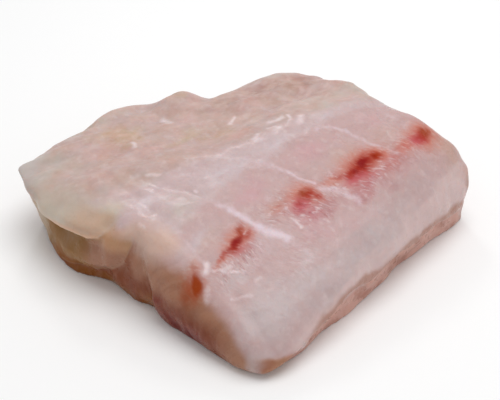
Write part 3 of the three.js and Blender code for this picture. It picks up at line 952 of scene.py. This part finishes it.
def streak_group():
    """A mask of streaks: Across and Along are places in millimetres."""
    places = [("Across", 0), ("Along", 0)]
    looks = [("Width", 1), ("Length", 8), ("From", 0.5), ("To", 0.7), ("Seed", 0)]
    group, nodes, links, given, result = start_group("streaks", places + looks)
    place = nodes.new("ShaderNodeCombineXYZ")
    for place_name, size_name, axis in (("Across", "Width", "X"), ("Along", "Length", "Y")):
        share = nodes.new("ShaderNodeMath")
        share.operation = "DIVIDE"
        links.new(given.outputs[place_name], share.inputs[0])
        links.new(given.outputs[size_name], share.inputs[1])
        links.new(share.outputs[0], place.inputs[axis])
    links.new(given.outputs["Seed"], place.inputs["Z"])
    texture = nodes.new("ShaderNodeTexNoise")
    texture.inputs["Scale"].default_value = 1
    texture.inputs["Detail"].default_value = 2
    texture.inputs["Roughness"].default_value = 0.5
    links.new(place.outputs[0], texture.inputs["Vector"])
    sharpen(nodes, links, texture.outputs["Fac"], given, result)
    return group


def mottle_noise(nodes, links, given):
    """Noise whose blotches have the group's Size in millimetres."""
    place = nodes.new("ShaderNodeNewGeometry")
    size = nodes.new("ShaderNodeMath")
    size.operation = "DIVIDE"
    size.inputs[0].default_value = 1 / MM
    links.new(given.outputs["Size"], size.inputs[1])
    scale = nodes.new("ShaderNodeVectorMath")
    scale.operation = "SCALE"
    links.new(place.outputs["Position"], scale.inputs[0])
    links.new(size.outputs[0], scale.inputs["Scale"])
    texture = nodes.new("ShaderNodeTexNoise")
    texture.noise_dimensions = "4D"
    texture.inputs["Scale"].default_value = 1
    texture.inputs["Detail"].default_value = 3
    links.new(scale.outputs[0], texture.inputs["Vector"])
    links.new(given.outputs["Seed"], texture.inputs["W"])
    return texture.outputs["Fac"]


def mottle_group():
    """A mask of soft blotches."""
    inputs = [("Size", 6), ("From", 0.4), ("To", 0.65), ("Seed", 0)]
    group, nodes, links, given, result = start_group("mottle", inputs)
    sharpen(nodes, links, mottle_noise(nodes, links, given), given, result)
    return group


def ragged_group():
    """Breaks up the edge of a mask by noise of a size in millimetres."""
    inputs = [("Edge", 0), ("Amount", 0.5), ("Size", 3), ("From", 0.2), ("To", 0.8), ("Seed", 0)]
    group, nodes, links, given, result = start_group("ragged edge", inputs)
    swing = nodes.new("ShaderNodeMath")
    swing.operation = "SUBTRACT"
    links.new(mottle_noise(nodes, links, given), swing.inputs[0])
    swing.inputs[1].default_value = 0.5
    broken = nodes.new("ShaderNodeMath")
    broken.operation = "MULTIPLY_ADD"
    links.new(swing.outputs[0], broken.inputs[0])
    links.new(given.outputs["Amount"], broken.inputs[1])
    links.new(given.outputs["Edge"], broken.inputs[2])
    sharpen(nodes, links, broken.outputs[0], given, result)
    return group


class Painter:
    """Adds layers of colour to one material, each by a mask."""

    def __init__(self, name, base):
        self.material, self.nodes, self.links = new_material(name)
        self.shader = self.nodes["Principled BSDF"]
        self.streaks = streak_group()
        self.mottle = mottle_group()
        self.ragged = ragged_group()
        self.base = base
        self.colour = None

    def place(self):
        """The place in the frame, as its x, y and z in millimetres."""
        geometry = self.nodes.new("ShaderNodeNewGeometry")
        place = self.nodes.new("ShaderNodeSeparateXYZ")
        self.links.new(geometry.outputs["Position"], place.inputs[0])
        return [self.math("DIVIDE", place.outputs[axis], MM) for axis in "XYZ"]

    def kept(self, name):
        """What the mesh keeps under that name."""
        node = self.nodes.new("ShaderNodeAttribute")
        node.attribute_name = name
        return node.outputs["Fac"]

    def connect(self, value, socket):
        if isinstance(value, (int, float)):
            socket.default_value = value
        else:
            self.links.new(value, socket)

    def math(self, operation, *values, clamp=False):
        node = self.nodes.new("ShaderNodeMath")
        node.operation = operation
        node.use_clamp = clamp
        for socket, value in zip(node.inputs, values):
            self.connect(value, socket)
        return node.outputs[0]

    def times(self, *values):
        product = values[0]
        for value in values[1:]:
            product = self.math("MULTIPLY", product, value)
        return product

    def group(self, tree, **values):
        """Places a node group with those inputs. Gives back its mask."""
        node = self.nodes.new("ShaderNodeGroup")
        node.node_tree = tree
        for label, value in values.items():
            self.connect(value, node.inputs[label])
        return node.outputs["Mask"]

    def paint(self, colour, mask):
        """Lays a colour over what is painted so far, as strongly as the mask says."""
        node = self.nodes.new("ShaderNodeMix")
        node.data_type = "RGBA"
        self.links.new(mask, node.inputs["Factor"])
        if self.colour is None:
            node.inputs["A"].default_value = self.base
        else:
            self.links.new(self.colour, node.inputs["A"])
        node.inputs["B"].default_value = colour
        self.colour = node.outputs["Result"]

    def set(self, label, value):
        """Gives one of the shader's sockets a number, or what a node puts out."""
        self.connect(value, self.shader.inputs[label])

    def lay(self, layers):
        """Layers whose masks are kept on the mesh."""
        for seed, (name, colour, strength, amount) in enumerate(layers):
            edge = self.group(self.ragged, Edge=self.kept(name), Amount=amount, From=0.1, To=0.9, Seed=seed)
            self.paint(seen(*colour), self.times(edge, strength))

    def blotch(self, blotches, *masks, start, end):
        """Blotches of each colour, where noise rises from start to end."""
        for colour, size, seed, strength in blotches:
            spots = self.group(self.mottle, Size=size, From=start, To=end, Seed=seed)
            self.paint(seen(*colour), self.times(spots, *masks, strength))

    def streak(self, streaks, across, along, *masks, start, end):
        """Streaks of each colour, where noise rises from start to end. Gives back the mask of the last."""
        for colour, width, length, seed, strength in streaks:
            mask = self.group(
                self.streaks,
                Across=across,
                Along=along,
                Width=width,
                Length=length,
                From=start,
                To=end,
                Seed=seed,
            )
            self.paint(seen(*colour), self.times(mask, *masks, strength))
        return mask


def paint_lining(paint, along):
    """Tan and pink blotches on the belly lining, and patches drawn out along the fish."""
    lining = paint.kept("lining")
    paint.blotch(LINING_BLOTCHES, lining, start=0.36, end=0.7)
    paint.streak(LINING_STREAKS, paint.kept("past_lining"), along, lining, start=0.4, end=0.8)


def paint_cuts(paint, height):
    """Blotches, flakes and fibres on the cuts and the belly edge."""
    colour, strength = FLAKE_EDGE
    far_cut = paint.kept("far_cut")
    cuts = paint.math("MAXIMUM", paint.kept("near_face"), far_cut)
    from_edge = paint.math("PINGPONG", paint.kept("end_on"), FLAKE / 2)
    near_edge = paint.math("SUBTRACT", 1, from_edge)
    flake_edge = paint.group(paint.ragged, Edge=near_edge, Amount=1.2, Size=3, Seed=22)
    faded = paint.group(paint.mottle, Size=12, From=0.4, To=0.6, Seed=23)
    paint.blotch(HIDDEN_BLOTCHES, paint.kept("hidden"), start=0.42, end=0.68)
    paint.paint(seen(*colour), paint.times(flake_edge, faded, far_cut, strength))
    paint.streak(CUT_STREAKS, paint.kept("past_lining"), height, cuts, start=0.42, end=0.74)


def paint_blood(paint, fibres):
    """The tones of the bloodline marks, frayed by the fibres."""
    fray = paint.times(fibres, BLOOD_FRAY)
    for name, colour, strength, start, end in BLOOD_TONES:
        frayed = paint.math("SUBTRACT", paint.kept(name), fray)
        edge = paint.group(paint.ragged, Edge=frayed, Amount=0.2, Size=2.0, From=start, To=end, Seed=21)
        paint.paint(seen(*colour), paint.times(edge, strength))


def paint_membrane(paint, name, colour, strength, seed, end):
    """Pale membrane, or pale strokes that are painted glints, with a torn edge. Gives back its mask."""
    edge = paint.kept(name)
    membrane = paint.group(paint.ragged, Edge=edge, Amount=0.8, Size=1.6, From=0.1, To=end, Seed=seed)
    paint.paint(seen(*colour), paint.times(membrane, strength))
    return membrane


def add_wet_sheen(paint, scraps_and_glints):
    """A sheen that is uneven like the surface, wettest on the crest, on bits of membrane and on the painted
    glints.
    """
    spots = paint.group(paint.mottle, Size=1.8, From=0.35, To=0.7, Seed=13)
    blood = paint.math("MAXIMUM", paint.kept("red"), paint.kept("rust"), clamp=True)
    wet = paint.math("MAXIMUM", paint.kept("wet"), scraps_and_glints, clamp=True)
    roughness = paint.math("MULTIPLY_ADD", spots, DULL_SPOTS, ROUGHNESS)
    paint.set("Roughness", paint.math("MULTIPLY_ADD", paint.kept("lining"), DULL_LINING, roughness))
    paint.set("Subsurface Weight", paint.math("MULTIPLY_ADD", blood, DEPTH_IN_BLOOD, DEPTH))
    paint.set("Specular IOR Level", paint.math("MULTIPLY_ADD", blood, GLOSS_ON_BLOOD, GLOSS))
    paint.set("Coat Weight", paint.math("MULTIPLY_ADD", wet, COAT_ON_WET, COAT))


def add_fine_relief(paint, fibres):
    """Lumps, and the tufts of fibre round the blood, as small bumps."""
    lumps = paint.group(paint.mottle, Size=1.8, From=0.3, To=0.7, Seed=14)
    relief = paint.nodes.new("ShaderNodeBump")
    relief.inputs["Strength"].default_value = 1
    relief.inputs["Distance"].default_value = FINE_RELIEF
    height = paint.math("ADD", paint.times(lumps, FINE_LUMPS), paint.times(fibres, paint.kept("tufted")))
    paint.links.new(height, relief.inputs["Height"])
    paint.set("Normal", relief.outputs["Normal"])


def flesh_material():
    paint = Painter("raw flesh", seen(*PALE_FLESH))
    along_fish, to_belly, height = paint.place()
    paint.lay(LAYERS)
    paint_lining(paint, along_fish)
    paint.blotch(PALE_BLOTCHES, start=0.5, end=0.7)
    paint.lay(SIDE_LAYERS)
    paint.blotch(RIM_BLOTCHES, paint.kept("rim"), start=0.5, end=0.66)
    paint_cuts(paint, height)
    across_flakes = paint.kept("across_flakes")
    tufted = paint.kept("tufted")
    # The light tufts are partly a painted highlight for their wet glints
    fibres = paint.streak(TUFT_STREAKS, across_flakes, to_belly, tufted, start=0.5, end=0.66)
    paint_blood(paint, fibres)
    paint_membrane(paint, *SHEETS)
    # Pale membrane and painted glints
    scraps_and_glints = paint_membrane(paint, *MEMBRANE_AND_GLINTS)
    paint.set("Base Color", paint.colour)
    add_wet_sheen(paint, scraps_and_glints)
    add_fine_relief(paint, fibres)
    paint.set("IOR", 1.35)
    paint.shader.inputs["Subsurface Radius"].default_value = (1.0, 0.5, 0.35)
    paint.set("Subsurface Scale", 2.5 * MM)
    paint.set("Coat IOR", 1.33)
    paint.set("Coat Roughness", 0.22)
    return paint.material


def table_top():
    material, nodes, _ = new_material("table top")
    shader = nodes["Principled BSDF"]
    shader.inputs["Base Color"].default_value = (0.95, 0.95, 0.95, 1)
    shader.inputs["Roughness"].default_value = 0.8
    return material


# Stage


def add_camera():
    azimuth = math.radians(CAMERA_AZIMUTH)
    elevation = math.radians(CAMERA_ELEVATION)
    level = math.cos(elevation)
    back = Vector((math.sin(azimuth) * level, -math.cos(azimuth) * level, math.sin(elevation)))
    lens = bpy.data.cameras.new("camera")
    lens.lens = CAMERA_LENS
    lens.clip_start = 10 * MM
    camera = bpy.data.objects.new("camera", lens)
    camera.location = CAMERA_AIM + back * CAMERA_DISTANCE
    camera.rotation_euler = back.to_track_quat("Z", "Y").to_euler()
    bpy.context.collection.objects.link(camera)
    bpy.context.scene.camera = camera


def add_lamp(name, place, size, power):
    """A round area light that faces the middle of the portion."""
    lamp = bpy.data.lights.new(name, "AREA")
    lamp.shape = "DISK"
    lamp.size = size
    lamp.energy = power
    light = bpy.data.objects.new(name, lamp)
    light.location = place
    light.rotation_euler = (Vector(place) - PORTION_MIDDLE).to_track_quat("Z", "Y").to_euler()
    bpy.context.collection.objects.link(light)


def add_floor():
    bpy.ops.mesh.primitive_plane_add(size=TABLE_WIDTH)
    floor = bpy.context.object
    floor.name = "table"
    floor.data.materials.append(table_top())


def light_scene():
    world = bpy.data.worlds.new("studio")
    world.use_nodes = True
    background = world.node_tree.nodes["Background"]
    background.inputs["Color"].default_value = (1, 1, 1, 1)
    background.inputs["Strength"].default_value = ROOM_LIGHT
    bpy.context.scene.world = world
    for lamp in LAMPS:
        add_lamp(*lamp)
    bpy.context.scene.view_settings.view_transform = "Standard"


add_camera()
light_scene()
add_floor()
flesh = make_flesh()
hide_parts("fillet")
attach(flesh, "root")
